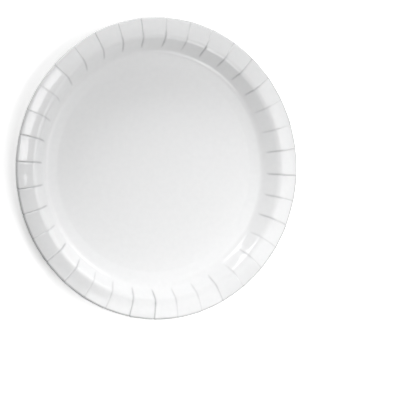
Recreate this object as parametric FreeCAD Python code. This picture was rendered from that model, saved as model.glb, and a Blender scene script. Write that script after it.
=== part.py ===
import FreeCAD, Part
import math
import os

V = FreeCAD.Vector

# A round dinner plate pressed from one sheet of coated paperboard, standing on its base.
# +Z is up, and the origin is the middle of the underside of the base.
# All sizes are in millimetres and degrees.

# The pressed sheet, from the cut edge inwards. What these leave in the middle is the flat base.
board = 0.4               # thickness of the board
rim_radius = 114.3        # the cut edge, at its widest
lip_width = 0.5           # how far the straight part of the turned-down edge runs
lip_angle = 55.0          # how steeply that edge is turned down, from level
lip_bend = 1.2            # radius of the underside at the turned-down edge
flange_width = 10.35      # how far the flange runs
flange_angle = 3.5        # the flange falls outwards by this much
shoulder_bend = 6.0       # radius of the underside at the top of the wall
wall_width = 6.3          # how far the straight part of the side wall runs
wall_angle = 46.0         # the side wall, from level
foot_bend = 8.0           # radius of the underside at the foot of the wall
apron_width = 7.7         # how far the gentle rise outside the flat base runs
apron_angle = 4.5         # that rise, from level
bend_flat_count = 3       # each bend is pressed as this many narrow flats

# The folds that gather the sheet in the wall and the flange
fold_count = 36           # pressed at an even pitch all the way round
fold_width = 0.9          # the pressed channel of a fold, across it at the rim
fold_depth = 0.2          # how deep it lies below the upper side of the sheet
fold_stand = 0.25         # how far the gathered board stands out below the sheet
fold_run_in = 2.2         # how far out along the wall a fold takes to reach its full depth
panel_flats = 2           # the sheet between two folds lies in this many flats

pitch = 360.0 / fold_count
half_fold = math.degrees(fold_width / rim_radius) / 2


def sine(slope):
    return math.sin(math.radians(slope))


def cosine(slope):
    return math.cos(math.radians(slope))


# The runs and bends outside the flat base, as the slope they end in, the bend's radius and the run's width
steps = (
    (apron_angle, 0.0, apron_width),
    (wall_angle, foot_bend, wall_width),
    (-flange_angle, shoulder_bend, flange_width),
    (-lip_angle, lip_bend, lip_width),
)


# How far the steps reach outwards, with the cut edge's own lean
def reach_of_steps():
    reach = board * sine(lip_angle)
    slope = 0.0
    for end, radius, width in steps:
        reach += radius * abs(sine(end) - sine(slope)) + width
        slope = end
    return reach


# The underside of the sheet as (r, z, slope before, slope after), from the base ring outwards
def underside():
    rows = [[rim_radius - reach_of_steps(), 0.0, 0.0, 0.0]]
    for end, radius, width in steps:
        r, z, slope = rows[-1][:3]
        side = 1.0 if end > slope else -1.0
        centre_r = r - side * radius * sine(slope)
        centre_z = z + side * radius * cosine(slope)
        flats = bend_flat_count if radius else 0
        for n in range(1, flats + 1):
            turn = (end - slope) / flats
            here = slope + turn * n
            r = centre_r + side * radius * sine(here)
            z = centre_z - side * radius * cosine(here)
            rows[-1][3] = here - turn / 2
            rows.append([r, z, here - turn / 2, here])
        rows[-1][3] = end
        rows.append([r + width, z + width * math.tan(math.radians(end)), end, end])
    return rows


# A point of the sheet: a row of the section, lifted off the underside square to the sheet, at an angle round the plate
def point(row, lift, angle):
    r, z, before, after = row
    lean = (before + after) / 2
    reach = lift / cosine((after - before) / 2)
    out = r - reach * sine(lean)
    return V(out * cosine(angle), out * sine(angle), z + reach * cosine(lean))


def flat(points):
    return Part.Face(Part.makePolygon(points + points[:1]))


# The flats between two rows, one for each step from angle to angle
def strip(inner, inner_lift, outer, outer_lift, angles):
    flats = []
    for start, end in zip(angles, angles[1:]):
        flats.append(flat([
            point(inner, inner_lift, start),
            point(outer, outer_lift, start),
            point(outer, outer_lift, end),
            point(inner, inner_lift, end),
        ]))
    return flats


# The section: all of it, and the part with the folds, from the foot of the wall outwards
line = underside()
foot = next(i for i, row in enumerate(line) if row[3] == wall_angle)
folded = line[foot:]
share = fold_run_in / wall_width
full = [folded[0][i] + (folded[1][i] - folded[0][i]) * share for i in (0, 1)] + [wall_angle, wall_angle]
channel = [full] + folded[1:]


# One fold and the panel beside it
def sector(start):
    fold = [start - half_fold, start + half_fold]
    panel_width = pitch - 2 * half_fold
    panel = [start + half_fold + panel_width * n / panel_flats for n in range(panel_flats + 1)]
    flats = []
    for lift, sunk in ((0.0, -fold_stand), (board, board - fold_depth)):
        for inner, outer in zip(line[:foot], line[1:foot + 1]):
            flats += strip(inner, lift, outer, lift, fold[:1] + panel)
        for inner, outer in zip(folded, folded[1:]):
            flats += strip(inner, lift, outer, lift, panel)
        flats += strip(folded[0], lift, channel[0], sunk, fold)
        for inner, outer in zip(channel, channel[1:]):
            flats += strip(inner, sunk, outer, sunk, fold)
        for angle in fold:
            side = [point(row, lift, angle) for row in folded]
            side += [point(row, sunk, angle) for row in reversed(channel)]
            flats.append(flat(side))
    # The cut edge of the sheet
    end = line[-1]
    lifts = (-fold_stand, 0.0, board - fold_depth)
    edge = [point(end, lift, fold[0]) for lift in lifts]
    edge += [point(end, lift, fold[1]) for lift in reversed(lifts)]
    flats.append(flat(edge))
    for n in range(panel_flats):
        edge = [point(end, 0.0, panel[n]), point(end, 0.0, panel[n + 1])]
        if n == panel_flats - 1:
            edge.append(point(end, board - fold_depth, panel[n + 1]))
        edge += [point(end, board, panel[n + 1]), point(end, board, panel[n])]
        if n == 0:
            edge.append(point(end, board - fold_depth, panel[n]))
        flats.append(flat(edge))
    return flats, fold[:1] + panel[:-1]


skin = []
corners = []
for n in range(fold_count):
    flats, angles = sector(pitch * n)
    skin += flats
    corners += angles
for lift in (0.0, board):
    skin.append(flat([point(line[0], lift, angle) for angle in corners]))
sheet = Part.makeCompound(skin)
sheet.sewShape()
plate = Part.makeSolid(sheet.Shells[0])
if plate.Volume < 0:
    plate.reverse()

box = plate.BoundBox
print("valid", plate.isValid(), "closed", plate.isClosed(), "shells", len(sheet.Shells), "faces", len(plate.Faces))
print("volume", round(plate.Volume, 1), "across", round(box.XLength, 2), "high", round(box.ZLength, 2))
os.makedirs("parts", exist_ok=True)
plate.exportStep("parts/plate.step")
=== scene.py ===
import math
import bpy
from mathutils import Matrix, Vector


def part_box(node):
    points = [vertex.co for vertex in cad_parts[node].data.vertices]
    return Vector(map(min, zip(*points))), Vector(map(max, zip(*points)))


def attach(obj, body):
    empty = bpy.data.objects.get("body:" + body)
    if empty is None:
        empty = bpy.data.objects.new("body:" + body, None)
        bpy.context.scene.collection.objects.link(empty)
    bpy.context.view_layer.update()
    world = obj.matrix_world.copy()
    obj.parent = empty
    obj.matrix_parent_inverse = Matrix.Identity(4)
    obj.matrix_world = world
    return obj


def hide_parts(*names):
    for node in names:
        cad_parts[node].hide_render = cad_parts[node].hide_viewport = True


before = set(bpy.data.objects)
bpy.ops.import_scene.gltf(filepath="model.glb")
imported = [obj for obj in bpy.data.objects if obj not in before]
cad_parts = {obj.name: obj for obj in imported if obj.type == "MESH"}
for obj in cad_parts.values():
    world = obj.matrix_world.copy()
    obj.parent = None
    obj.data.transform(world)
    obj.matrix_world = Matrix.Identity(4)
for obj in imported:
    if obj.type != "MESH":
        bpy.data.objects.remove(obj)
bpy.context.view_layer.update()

# The outline of the pressed sheet, cut through from the middle to the edge.
# A flat disc of coated board goes between two heated dies, which press this outline into it.
# Lengths are in metres, and slopes in degrees from level.
mm = 0.001
board = 0.4 * mm
rim_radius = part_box("plate")[1].x
apron_slope, apron_bend, apron_width = 4.5, 5.0 * mm, 7.3 * mm
wall_slope, foot_bend, wall_width = 46.0, 8.0 * mm, 6.3 * mm
crest_slope, shoulder_bend, crest_width = -1.0, 6.0 * mm, 0.4 * mm
flange_slope, flange_bend, flange_width = -6.8, 96.0 * mm, 0.6 * mm
lip_slope, lip_bend, lip_width = -55.0, 1.2 * mm, 0.5 * mm

# Each step outwards, as the slope it ends in, its bend's radius, its straight run and the points in its bend
pressed_steps = (
    (apron_slope, apron_bend, apron_width, 4),
    (wall_slope, foot_bend, wall_width, 9),
    (crest_slope, shoulder_bend, crest_width, 10),
    (flange_slope, flange_bend, flange_width, 6),
    (lip_slope, lip_bend, lip_width, 6),
)
fold_run_in = 2.4 * mm
flange_run_in = 3.0 * mm

# The corners of the cut edge are rounded: how far up and back their points lie, as shares of cut_corner
cut_corner = 0.09 * mm
corner_steps = ((0.0, 1.0), (0.1, 0.4), (0.4, 0.1), (1.0, 0.0))

# The rings in the flat base, as shares of its radius, and the longest stretch without a ring elsewhere
base_rings = (0.0, 0.35, 0.65, 0.85, 0.95, 1.0)
longest_run = 2.2 * mm


def sine(slope):
    return math.sin(math.radians(slope))


def cosine(slope):
    return math.cos(math.radians(slope))


# How far the steps reach outwards, with the cut edge's own lean
def steps_reach():
    reach = -board * sine(lip_slope)
    slope = 0.0
    for end, radius, width, count in pressed_steps:
        reach += radius * abs(sine(end) - sine(slope)) + width
        slope = end
    return reach


# Points of the underside as (radius, height, slope there), from the middle to the cut edge
def underside_points():
    base_radius = rim_radius - steps_reach()
    points = [(base_radius * share, 0.0, 0.0) for share in base_rings]
    for end, radius, width, count in pressed_steps:
        r, z, slope = points[-1]
        side = 1.0 if end > slope else -1.0
        centre_r = r - side * radius * sine(slope)
        centre_z = z + side * radius * cosine(slope)
        for n in range(1, count + 1):
            here = slope + (end - slope) * n / count
            across = side * radius * sine(here)
            down = side * radius * cosine(here)
            points.append((centre_r + across, centre_z - down, here))
        r, z, slope = points[-1]
        runs = max(2, round(width / longest_run))
        for n in range(1, runs + 1):
            run = width * n / runs
            points.append((r + run, z + run * math.tan(math.radians(end)), end))
    return points


# A point of the outline, moved square to the sheet and back from the cut edge
def moved(point, up, back):
    r, z, slope = point
    out = r - up * sine(slope) - back * cosine(slope)
    high = z + up * cosine(slope) - back * sine(slope)
    return (out, high, slope)


def closed_outline():
    under = underside_points()
    cut = under.pop()
    corner = [moved(cut, cut_corner * up, cut_corner * back) for up, back in corner_steps]
    upper_corner = [moved(cut, board - cut_corner * up, cut_corner * back) for up, back in corner_steps]
    upper = [moved(point, board, 0.0) for point in under]
    return under, corner + upper_corner[::-1], upper[::-1]


def add_values(mesh, name, kind, key, values):
    attribute = mesh.attributes.new(name, kind, "POINT")
    attribute.data.foreach_set(key, values)


under, cut_edge, upper = closed_outline()
outline = under + cut_edge + upper
outline_mesh = bpy.data.meshes.new("pressed_outline")
outline_mesh.from_pydata([(r, 0.0, z) for r, z, slope in outline], [], [])
apron_start = max(r for r, z, slope in under if slope == 0.0)
fold_start = next(r for r, z, slope in under if slope == wall_slope)
crown = max(z for r, z, slope in upper)
shoulder = next(r for r, z, slope in upper if z == crown)
lip_start = max(r for r, z, slope in under if slope == flange_slope)


# How far each point has come from one radius to another, as 0 to 1
def share_outwards(start, end):
    return [min(max((r - start) / (end - start), 0.0), 1.0) for r, z, slope in outline]


square = [part for r, z, slope in outline for part in (-sine(slope), 0.0, cosine(slope))]
add_values(outline_mesh, "square", "FLOAT_VECTOR", "vector", square)
outline_values = {
    "ironed": share_outwards(apron_start, fold_start),
    "folded": share_outwards(fold_start, fold_start + fold_run_in),
    "on_flange": share_outwards(shoulder, shoulder + flange_run_in),
    "at_rim": share_outwards(lip_start, rim_radius),
    "past_shoulder": [max(r - shoulder, 0.0) for r, z, slope in outline],
    "coated": [0.0] * (len(under) + len(cut_edge)) + [1.0] * len(upper),
}
for name, values in outline_values.items():
    add_values(outline_mesh, name, "FLOAT", "value", values)


# The coating on the upper side: white clay under a clear film.
# The heated dies iron it to a shine in the wall and the flange.
# Grey is painted along each fold: partly bare board where the fold cracks the coating, partly painted shade
# in the crease. The turned-down edge is painted grey as painted shade.
coating_dull = (0.865, 0.868, 0.872)
coating_bright = (0.885, 0.887, 0.89)
shade_and_crack_grey = (0.56, 0.56, 0.57)
film_roughness = (0.2, 0.25)
film_index = 1.5
ironed_share = 0.35
mottle_scale, mottle_range = 260.0, (0.3, 0.7)
grain_scale, grain_depth = 900.0, 0.003 * mm
ripple_scale, ripple_depth = 140.0, 0.02 * mm


def new_material(name):
    material = bpy.data.materials.new(name)
    material.use_nodes = True
    tree = material.node_tree
    tree.nodes.clear()
    shader = tree.nodes.new("ShaderNodeBsdfPrincipled")
    output = tree.nodes.new("ShaderNodeOutputMaterial")
    tree.links.new(shader.outputs["BSDF"], output.inputs["Surface"])
    return material, tree, shader


def object_noise(tree, scale, detail):
    place = tree.nodes.new("ShaderNodeTexCoord")
    noise = tree.nodes.new("ShaderNodeTexNoise")
    noise.inputs["Scale"].default_value = scale
    noise.inputs["Detail"].default_value = detail
    tree.links.new(place.outputs["Object"], noise.inputs["Vector"])
    return noise.outputs["Fac"]


def own_attribute(tree, name):
    attribute = tree.nodes.new("ShaderNodeAttribute")
    attribute.attribute_name = name
    return attribute.outputs["Fac"]


def maths(tree, operation, first, second):
    node = tree.nodes.new("ShaderNodeMath")
    node.operation = operation
    tree.links.new(first, node.inputs[0])
    tree.links.new(second, node.inputs[1])
    return node.outputs[0]


def spread(tree, value, low, high, start=0.0, end=1.0):
    ranged = tree.nodes.new("ShaderNodeMapRange")
    ranged.inputs["From Min"].default_value = start
    ranged.inputs["From Max"].default_value = end
    ranged.inputs["To Min"].default_value = low
    ranged.inputs["To Max"].default_value = high
    tree.links.new(value, ranged.inputs["Value"])
    return ranged.outputs["Result"]


def colour_mix(tree, share, first, second):
    mix = tree.nodes.new("ShaderNodeMix")
    mix.data_type = "RGBA"
    tree.links.new(share, mix.inputs[0])
    for socket, colour in ((mix.inputs[6], first), (mix.inputs[7], second)):
        if isinstance(colour, tuple):
            socket.default_value = colour + (1.0,)
        else:
            tree.links.new(colour, socket)
    return mix.outputs[2]


def bumped(tree, shader, heights):
    normal = None
    for height, depth in heights:
        bump = tree.nodes.new("ShaderNodeBump")
        bump.inputs["Strength"].default_value = 1.0
        bump.inputs["Distance"].default_value = depth
        tree.links.new(height, bump.inputs["Height"])
        if normal:
            tree.links.new(normal, bump.inputs["Normal"])
        normal = bump.outputs["Normal"]
    tree.links.new(normal, shader.inputs["Normal"])


def make_coated_face():
    material, tree, shader = new_material("coated_face")
    mottle = object_noise(tree, mottle_scale, 3.0)
    share = spread(tree, mottle, 0.0, 1.0, *mottle_range)
    white = colour_mix(tree, share, coating_dull, coating_bright)
    # Painted shade: grey in the folds' creases, with some bare board, and on the turned-down edge
    shaded = colour_mix(tree, own_attribute(tree, "seam"), white, shade_and_crack_grey)
    tree.links.new(shaded, shader.inputs["Base Color"])
    film = spread(tree, mottle, *film_roughness)
    ironing = spread(tree, own_attribute(tree, "ironed"), 1.0, ironed_share)
    tree.links.new(maths(tree, "MULTIPLY", film, ironing), shader.inputs["Roughness"])
    shader.inputs["IOR"].default_value = film_index
    grain = (object_noise(tree, grain_scale, 2.0), grain_depth)
    ripple = (object_noise(tree, ripple_scale, 2.0), ripple_depth)
    bumped(tree, shader, (grain, ripple))
    return material


coated_face = make_coated_face()


# The underside and the cut edge: bare pulp board, with no coating on it.
# It is matt and slightly grey, with fibres that can be felt.
pulp_dark = (0.75, 0.75, 0.74)
pulp_light = (0.82, 0.82, 0.815)
pulp_roughness = (0.8, 0.92)
fibre_scale, fibre_range, fibre_depth = 1400.0, (0.35, 0.65), 0.03 * mm
cloud_scale, cloud_depth = 90.0, 0.02 * mm


def make_bare_board():
    material, tree, shader = new_material("bare_board")
    fibre = object_noise(tree, fibre_scale, 5.0)
    cloud = object_noise(tree, cloud_scale, 3.0)
    share = spread(tree, fibre, 0.0, 1.0, *fibre_range)
    pulp = colour_mix(tree, share, pulp_dark, pulp_light)
    tree.links.new(pulp, shader.inputs["Base Color"])
    tree.links.new(spread(tree, cloud, *pulp_roughness), shader.inputs["Roughness"])
    bumped(tree, shader, ((fibre, fibre_depth), (cloud, cloud_depth)))
    return material


bare_board = make_bare_board()


# The plate itself. The dies gather the spare board of the wall and flange in folds at an even pitch.
# Each fold is a pressed seam with one panel lapped a little over the next, and no two are quite alike.
fold_inputs = (
    ("Fold Count", "NodeSocketInt", 36),
    ("Steps Per Fold", "NodeSocketInt", 24),
    ("Crowding", "NodeSocketFloat", 2.2),
    ("Seam Width", "NodeSocketFloat", 0.72 * mm),
    ("Seam Depth", "NodeSocketFloat", 0.2 * mm),
    ("Pleat Width", "NodeSocketFloat", 2.4 * mm),
    ("Pleat Edge", "NodeSocketFloat", 0.05 * mm),
    ("Pleat Run", "NodeSocketFloat", 0.3 * mm),
    ("Lap", "NodeSocketFloat", 0.22 * mm),
    ("Lap Run", "NodeSocketFloat", 0.45 * mm),
    ("Panel Lean", "NodeSocketFloat", math.radians(0.6)),
    ("Panel Droop", "NodeSocketFloat", math.radians(0.8)),
    ("Panel Sag", "NodeSocketFloat", 0.15 * mm),
    ("Notch", "NodeSocketFloat", 0.3 * mm),
    ("Trim", "NodeSocketFloat", 0.08 * mm),
    # How strong the painted shade on the turned-down edge is
    ("Edge Shade", "NodeSocketFloat", 0.45),
    ("Drift", "NodeSocketFloat", math.radians(0.3)),
    ("Waviness", "NodeSocketFloat", 0.2 * mm),
    ("Wave Start", "NodeSocketFloat", 0.6),
    ("Set Down", "NodeSocketFloat", 0.2 * mm),
    ("Seed", "NodeSocketInt", 216),
    ("Coated Face", "NodeSocketMaterial", None),
    ("Bare Board", "NodeSocketMaterial", None),
)

# Single folds and panels lie between these shares of the inputs above
weakest_fold, strongest_fold = 0.25, 1.0
most_faded = 0.6
sharpest_rise, sharpest_droop = 0.6, -1.0

# A seam is this share narrower on the flange, and the edge's painted shade is full a third of the way down
# the lip
flange_narrowing = 0.3
lip_shade_rate = 3.0

# Points closer than merge_reach are merged, in the middle and where the round closes.
# A face is coated where more than coated_share of it lies on the upper side.
merge_reach = 0.001 * mm
coated_share = 0.6


class Tree:
    """A Geometry Nodes tree with short calls for its sums."""

    def __init__(self, name, inputs):
        self.group = bpy.data.node_groups.new(name, "GeometryNodeTree")
        self.group.interface.new_socket("Geometry", in_out="INPUT", socket_type="NodeSocketGeometry")
        self.group.interface.new_socket("Geometry", in_out="OUTPUT", socket_type="NodeSocketGeometry")
        for label, kind, value in inputs:
            socket = self.group.interface.new_socket(label, in_out="INPUT", socket_type=kind)
            if value is not None:
                socket.default_value = value
        self.start = self.group.nodes.new("NodeGroupInput")
        self.end = self.group.nodes.new("NodeGroupOutput")

    def given(self, label):
        return self.start.outputs[label]

    def feed(self, socket, value):
        if isinstance(value, bpy.types.NodeSocket):
            self.group.links.new(value, socket)
        else:
            socket.default_value = value

    def node(self, kind, settings, feeds):
        made = self.group.nodes.new(kind)
        for key, value in settings.items():
            setattr(made, key, value)
        for key, value in feeds.items():
            self.feed(made.inputs[key], value)
        return made

    def sum(self, operation, *values):
        return self.node("ShaderNodeMath", {"operation": operation}, dict(enumerate(values))).outputs[0]

    def whole(self, operation, *values):
        settings = {"operation": operation}
        return self.node("FunctionNodeIntegerMath", settings, dict(enumerate(values))).outputs[0]

    def attribute(self, name, kind="FLOAT"):
        return self.node("GeometryNodeInputNamedAttribute", {"data_type": kind}, {"Name": name}).outputs[0]

    def at_row(self, value, row, kind="FLOAT"):
        settings = {"data_type": kind, "domain": "POINT"}
        feeds = {"Geometry": self.given("Geometry"), "Value": value, "Index": row}
        return self.node("GeometryNodeSampleIndex", settings, feeds).outputs[0]

    def random(self, number, low, high, offset):
        feeds = {"ID": number, "Seed": self.whole("ADD", self.given("Seed"), offset)}
        made = self.node("FunctionNodeRandomValue", {"data_type": "FLOAT"}, feeds)
        made.inputs[2].default_value = low
        made.inputs[3].default_value = high
        return made.outputs[1]

    def parts(self, vector):
        return self.node("ShaderNodeSeparateXYZ", {}, {"Vector": vector}).outputs

    def vector(self, x, y, z):
        return self.node("ShaderNodeCombineXYZ", {}, {"X": x, "Y": y, "Z": z}).outputs[0]


def bell(tree, distance, width):
    share = tree.sum("DIVIDE", distance, width)
    return tree.sum("EXPONENT", tree.sum("MULTIPLY", tree.sum("MULTIPLY", share, share), -1.0))


def press_tree():
    tree = Tree("pressed_plate", fold_inputs)
    feeds = {"Geometry": tree.given("Geometry")}
    size = tree.node("GeometryNodeAttributeDomainSize", {"component": "MESH"}, feeds)
    rows = size.outputs["Point Count"]
    count = tree.given("Fold Count")
    steps = tree.given("Steps Per Fold")
    columns = tree.whole("ADD", tree.whole("MULTIPLY", count, steps), 1)
    feeds = {"Vertices X": columns, "Vertices Y": rows}
    mesh = tree.node("GeometryNodeMeshGrid", {}, feeds).outputs["Mesh"]
    index = tree.node("GeometryNodeInputIndex", {}, {}).outputs[0]
    column = tree.whole("DIVIDE_FLOOR", index, rows)
    row = tree.whole("MODULO", index, rows)

    # Where the point lies across its fold: 0 in the seam and 1 in the middle of a panel.
    # The points crowd to the seam.
    fold = tree.whole("DIVIDE_FLOOR", column, steps)
    step = tree.whole("MODULO", column, steps)
    across = tree.sum("SUBTRACT", tree.sum("DIVIDE", tree.sum("MULTIPLY", step, 2.0), steps), 1.0)
    side = tree.sum("SIGN", across)
    away = tree.sum("POWER", tree.sum("ABSOLUTE", across), tree.given("Crowding"))
    near = tree.sum("SUBTRACT", 1.0, away)
    this_fold = tree.whole("MODULO", fold, count)

    # The outline's own values at this row
    position = tree.node("GeometryNodeInputPosition", {}, {}).outputs[0]
    place = tree.parts(tree.at_row(position, row, "FLOAT_VECTOR"))
    square = tree.parts(tree.at_row(tree.attribute("square", "FLOAT_VECTOR"), row, "FLOAT_VECTOR"))
    folded = tree.at_row(tree.attribute("folded"), row)
    at_rim = tree.at_row(tree.attribute("at_rim"), row)
    coated = tree.at_row(tree.attribute("coated"), row)
    on_flange = tree.at_row(tree.attribute("on_flange"), row)
    ironed = tree.at_row(tree.attribute("ironed"), row)
    past_shoulder = tree.at_row(tree.attribute("past_shoulder"), row)

    # The angle round the plate, with each fold a little off its place and off straight
    pitch = tree.sum("DIVIDE", math.tau, count)
    folds_along = tree.sum("MULTIPLY_ADD", tree.sum("MULTIPLY", side, away), 0.5, fold)
    turn = tree.sum("MULTIPLY", pitch, folds_along)
    shift = tree.random(this_fold, -1.0, 1.0, 0)
    slant = tree.sum("MULTIPLY", tree.random(this_fold, -1.0, 1.0, 1), at_rim)
    drift = tree.sum("MULTIPLY", tree.sum("ADD", shift, slant), tree.given("Drift"))
    drift = tree.sum("MULTIPLY", tree.sum("MULTIPLY", drift, near), folded)
    angle = tree.sum("ADD", turn, drift)

    # The seam, a groove that is deepest in its middle.
    # Folds differ in their depth, and in how faintly their painted crease shade shows on the flange.
    half_panel = tree.sum("MULTIPLY", tree.sum("MULTIPLY", place[0], pitch), 0.5)
    distance = tree.sum("MULTIPLY", half_panel, away)
    strength = tree.random(this_fold, weakest_fold, strongest_fold, 2)
    faint = tree.sum("MULTIPLY", tree.random(this_fold, 0.0, most_faded, 5), on_flange)
    narrowed = tree.sum("MULTIPLY_ADD", on_flange, -flange_narrowing, 1.0)
    seam_width = tree.sum("MULTIPLY", tree.given("Seam Width"), narrowed)
    seam = tree.sum("MULTIPLY", bell(tree, distance, seam_width), strength)
    sunk = tree.sum("MULTIPLY", seam, tree.given("Seam Depth"))

    # The panels, which lean and droop a little, each in its own way
    ahead = tree.sum("GREATER_THAN", across, 0.0)
    panel = tree.sum("SUBTRACT", tree.sum("ADD", fold, ahead), 1.0)
    panel = tree.sum("FLOORED_MODULO", panel, count)
    lean = tree.sum("MULTIPLY", tree.random(panel, -1.0, 1.0, 3), tree.given("Panel Lean"))
    leant = tree.sum("MULTIPLY", tree.sum("MULTIPLY", lean, half_panel), tree.sum("MULTIPLY", side, near))
    droop = tree.random(panel, sharpest_droop, sharpest_rise, 4)
    droop = tree.sum("MULTIPLY", droop, tree.given("Panel Droop"))
    drooped = tree.sum("MULTIPLY", tree.sum("MULTIPLY", droop, past_shoulder), tree.sum("ABSOLUTE", side))

    # The pleat's edge on one side of the seam, and the lap of the other panel's edge over it
    past_pleat = tree.sum("SUBTRACT", tree.given("Pleat Width"), distance)
    past_pleat = tree.sum("DIVIDE", past_pleat, tree.given("Pleat Run"))
    on_pleat = tree.sum("MINIMUM", tree.sum("MAXIMUM", past_pleat, 0.0), 1.0)
    on_pleat = tree.sum("MULTIPLY", on_pleat, ahead)
    pleat = tree.sum("MULTIPLY", tree.sum("MULTIPLY", on_pleat, tree.given("Pleat Edge")), strength)
    behind = tree.sum("SUBTRACT", 1.0, ahead)
    riser = tree.sum("MINIMUM", tree.sum("DIVIDE", distance, tree.given("Lap Run")), behind)
    lap = tree.sum("MULTIPLY", tree.sum("MULTIPLY", riser, near), tree.sum("MULTIPLY", on_flange, strength))
    lap = tree.sum("MULTIPLY", lap, tree.sum("SUBTRACT", 1.0, at_rim))
    pleat = tree.sum("MULTIPLY_ADD", lap, tree.given("Lap"), pleat)
    lifted = tree.sum("ADD", tree.sum("ADD", leant, drooped), pleat)
    rise = tree.sum("MULTIPLY", tree.sum("SUBTRACT", lifted, sunk), folded)

    # The cut edge, straighter across a panel than the circle and notched at a fold
    flatness = tree.sum("SUBTRACT", 1.0, tree.sum("MULTIPLY", near, near))
    sag = tree.sum("MULTIPLY", flatness, tree.given("Panel Sag"))
    notch = tree.sum("MULTIPLY", tree.sum("MULTIPLY", seam, at_rim), tree.given("Notch"))
    inwards = tree.sum("ADD", tree.sum("ADD", sag, notch), tree.given("Trim"))
    inwards = tree.sum("MULTIPLY", inwards, folded)

    # The rim's slow wave: two rises and two dips round the plate
    wave_turn = tree.sum("MULTIPLY_ADD", turn, 2.0, tree.given("Wave Start"))
    wave = tree.sum("ADD", tree.sum("SINE", wave_turn), 1.0)
    wave = tree.sum("MULTIPLY", tree.sum("MULTIPLY", wave, tree.given("Waviness")), -0.5)
    dip = tree.sum("MULTIPLY", tree.sum("SUBTRACT", wave, tree.given("Set Down")), folded)

    # The point in space
    out = tree.sum("SUBTRACT", place[0], inwards)
    out = tree.sum("MULTIPLY_ADD", square[0], rise, out)
    high = tree.sum("ADD", tree.sum("MULTIPLY_ADD", square[2], rise, place[2]), dip)
    x = tree.sum("MULTIPLY", out, tree.sum("COSINE", angle))
    y = tree.sum("MULTIPLY", out, tree.sum("SINE", angle))

    # How grey the coating is painted here: painted shade and bare board in a seam, and painted shade on the
    # turned-down edge
    painted_shade_and_cracks = tree.sum("MULTIPLY", tree.sum("MULTIPLY", seam, folded), tree.sum("SUBTRACT", 1.0, faint))
    # Painted shade on the turned-down edge
    edge_shade = tree.sum("MINIMUM", tree.sum("MULTIPLY", at_rim, lip_shade_rate), 1.0)
    painted_shade_and_cracks = tree.sum("MULTIPLY_ADD", edge_shade, tree.given("Edge Shade"), painted_shade_and_cracks)
    for name, value in (("seam", painted_shade_and_cracks), ("coated", coated), ("ironed", ironed)):
        feeds = {"Geometry": mesh, "Name": name, "Value": value}
        mesh = tree.node("GeometryNodeStoreNamedAttribute", {"data_type": "FLOAT"}, feeds).outputs[0]
    feeds = {"Geometry": mesh, "Position": tree.vector(x, y, high)}
    mesh = tree.node("GeometryNodeSetPosition", {}, feeds).outputs[0]
    feeds = {"Geometry": mesh, "Distance": merge_reach}
    mesh = tree.node("GeometryNodeMergeByDistance", {}, feeds).outputs[0]
    feeds = {"Geometry": mesh, "Shade Smooth": True}
    mesh = tree.node("GeometryNodeSetShadeSmooth", {}, feeds).outputs[0]
    mesh = tree.node("GeometryNodeRealizeInstances", {}, {"Geometry": mesh}).outputs[0]
    feeds = {"Geometry": mesh, "Material": tree.given("Bare Board")}
    mesh = tree.node("GeometryNodeSetMaterial", {}, feeds).outputs[0]
    feeds = {0: tree.attribute("coated"), 1: coated_share}
    on_top = tree.node("FunctionNodeCompare", {"operation": "GREATER_THAN"}, feeds).outputs[0]
    feeds = {"Geometry": mesh, "Selection": on_top, "Material": tree.given("Coated Face")}
    mesh = tree.node("GeometryNodeSetMaterial", {}, feeds).outputs[0]
    tree.feed(tree.end.inputs["Geometry"], mesh)
    return tree.group


# The outline's mesh, pressed round by the tree and kept as a plain mesh of its own
def baked(name, source, group, values):
    carrier = bpy.data.objects.new(name + "_outline", source)
    bpy.context.scene.collection.objects.link(carrier)
    modifier = carrier.modifiers.new("press", "NODES")
    modifier.node_group = group
    items = [item for item in group.interface.items_tree if item.in_out == "INPUT"]
    sockets = {item.name: item.identifier for item in items}
    for label, value in values.items():
        modifier[sockets[label]] = value
    seen = bpy.context.evaluated_depsgraph_get()
    mesh = bpy.data.meshes.new_from_object(carrier.evaluated_get(seen))
    bpy.data.objects.remove(carrier)
    while None in mesh.materials[:]:
        mesh.materials.pop(index=mesh.materials[:].index(None))
    made = bpy.data.objects.new(name, mesh)
    bpy.context.scene.collection.objects.link(made)
    return made


press_values = {label: value for label, kind, value in fold_inputs if value is not None}
press_values["Coated Face"] = coated_face
press_values["Bare Board"] = bare_board
plate = baked("pressed_plate", outline_mesh, press_tree(), press_values)
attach(plate, "root")
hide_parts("plate")


# The floor that the plate stands on, plain and pale. The camera sees it white outside the shadow,
# and its own whiteness grows away from the plate, where the lamps no longer reach it.
floor_half = 1.5
floor_level = -0.05 * mm
floor_colour = (0.95, 0.95, 0.95, 1.0)
glow_by_plate, glow_far_off = 0.5, 1.0
glow_grows_from, glow_grows_to = 0.18, 0.5


def seen_directly(tree):
    path = tree.nodes.new("ShaderNodeLightPath")
    seen = path.outputs["Is Camera Ray"]
    for way in ("Is Glossy Ray", "Is Transmission Ray"):
        seen = maths(tree, "MAXIMUM", seen, path.outputs[way])
    return seen


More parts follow.
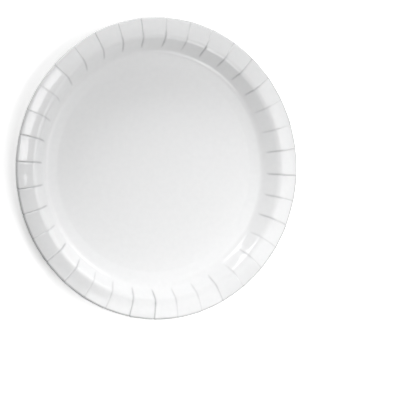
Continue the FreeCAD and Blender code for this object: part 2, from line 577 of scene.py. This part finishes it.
def make_floor():
    mesh = bpy.data.meshes.new("floor")
    sides = ((-1, -1), (1, -1), (1, 1), (-1, 1))
    corners = [(floor_half * x, floor_half * y, floor_level) for x, y in sides]
    mesh.from_pydata(corners, [], [(0, 1, 2, 3)])
    floor = bpy.data.objects.new("floor", mesh)
    bpy.context.scene.collection.objects.link(floor)
    material = bpy.data.materials.new("floor_white")
    material.use_nodes = True
    tree = material.node_tree
    tree.nodes.clear()
    matt = tree.nodes.new("ShaderNodeBsdfDiffuse")
    matt.inputs["Color"].default_value = floor_colour
    glow = tree.nodes.new("ShaderNodeEmission")
    place = tree.nodes.new("ShaderNodeTexCoord")
    away = tree.nodes.new("ShaderNodeVectorMath")
    away.operation = "LENGTH"
    tree.links.new(place.outputs["Object"], away.inputs[0])
    reach = (glow_by_plate, glow_far_off, glow_grows_from, glow_grows_to)
    whiteness = spread(tree, away.outputs["Value"], *reach)
    strength = maths(tree, "MULTIPLY", seen_directly(tree), whiteness)
    tree.links.new(strength, glow.inputs["Strength"])
    both = tree.nodes.new("ShaderNodeAddShader")
    tree.links.new(matt.outputs[0], both.inputs[0])
    tree.links.new(glow.outputs[0], both.inputs[1])
    output = tree.nodes.new("ShaderNodeOutputMaterial")
    tree.links.new(both.outputs[0], output.inputs["Surface"])
    mesh.materials.append(material)
    return floor


floor = make_floor()


# The studio. Soft boxes stand in front and on the right, two so close that their glow fades across the plate.
# Lamps and low strips behind light the wall in front. A small panel overhead is mirrored in the left flange.
# The strips aren't mirrored, because in a low view they would wash out the base.


# A lamp that faces the plate, from an azimuth and an elevation in degrees
def studio_lamp(name, direction, distance, size, power, turn=0.0, mirrored=True):
    light = bpy.data.lights.new(name, "AREA")
    light.energy = power
    if isinstance(size, tuple):
        light.shape = "RECTANGLE"
        light.size, light.size_y = size
    else:
        light.shape = "DISK"
        light.size = size
    lamp = bpy.data.objects.new(name, light)
    azimuth, elevation = direction
    back = Vector((cosine(azimuth) * cosine(elevation), sine(azimuth) * cosine(elevation), sine(elevation)))
    facing = back.to_track_quat("Z", "Y").to_matrix() @ Matrix.Rotation(math.radians(turn), 3, "Z")
    lamp.matrix_world = Matrix.Translation(back * distance) @ facing.to_4x4()
    lamp.visible_camera = False
    lamp.visible_glossy = mirrored
    bpy.context.scene.collection.objects.link(lamp)


studio_lamp("soft_box_front", (270, 58), 0.55, 0.34, 0.487)
studio_lamp("soft_box_right", (345, 58), 0.55, 0.34, 0.39)
studio_lamp("close_box_left", (285, 50), 0.35, 0.2, 0.163)
studio_lamp("close_box_right", (300, 50), 0.35, 0.2, 0.172)
studio_lamp("right_lamp", (0, 50), 1.0, 0.4, 0.76)
studio_lamp("right_back", (30, 30), 1.0, 0.4, 1.79)
studio_lamp("left_back", (120, 30), 1.0, 0.4, 2.4)
studio_lamp("low_strip", (90, 10), 1.0, (1.2, 0.12), 3.3, mirrored=False)
studio_lamp("low_back_left", (120, 10), 1.0, (0.5, 0.12), 2.6, mirrored=False)
studio_lamp("top_panel", (52, 80.9), 1.165, (0.15, 0.24), 0.64, turn=17)


# The room round the studio. It is white where it is seen or mirrored,
# and gives a little even light of its own.
room_light = 0.016


def make_room():
    world = bpy.data.worlds.new("room")
    world.use_nodes = True
    bpy.context.scene.world = world
    tree = world.node_tree
    tree.nodes.clear()
    background = tree.nodes.new("ShaderNodeBackground")
    background.inputs["Color"].default_value = (1.0, 1.0, 1.0, 1.0)
    tree.links.new(spread(tree, seen_directly(tree), room_light, 1.0), background.inputs["Strength"])
    output = tree.nodes.new("ShaderNodeOutputWorld")
    tree.links.new(background.outputs["Background"], output.inputs["Surface"])


make_room()


# The camera. It looks down at the plate from far off, tilted to the left,
# so that the round plate looks oval as in the photograph.
camera_distance = 2.0
camera_tilt = 22.8
camera_side = 180.8
camera_turn = -2.5
frame_pixels = 400
focal_pixels = 2622.0
aim = Vector((0.0383, -0.0225, 0.0))
camera_data = bpy.data.cameras.new("camera")
camera_data.sensor_width = 36.0
camera_data.lens = focal_pixels / frame_pixels * camera_data.sensor_width
camera_data.clip_start = 0.05
camera_data.clip_end = 20.0
camera = bpy.data.objects.new("camera", camera_data)
bpy.context.scene.collection.objects.link(camera)
bpy.context.scene.camera = camera
level = sine(camera_tilt)
back = Vector((level * cosine(camera_side), level * sine(camera_side), cosine(camera_tilt)))
right = Vector((sine(camera_turn), cosine(camera_turn), 0.0)).cross(back).normalized()
up = back.cross(right)
turned = Matrix((right, up, back)).transposed().to_4x4()
camera.matrix_world = Matrix.Translation(aim + back * camera_distance) @ turned
bpy.context.scene.view_settings.view_transform = "Standard"
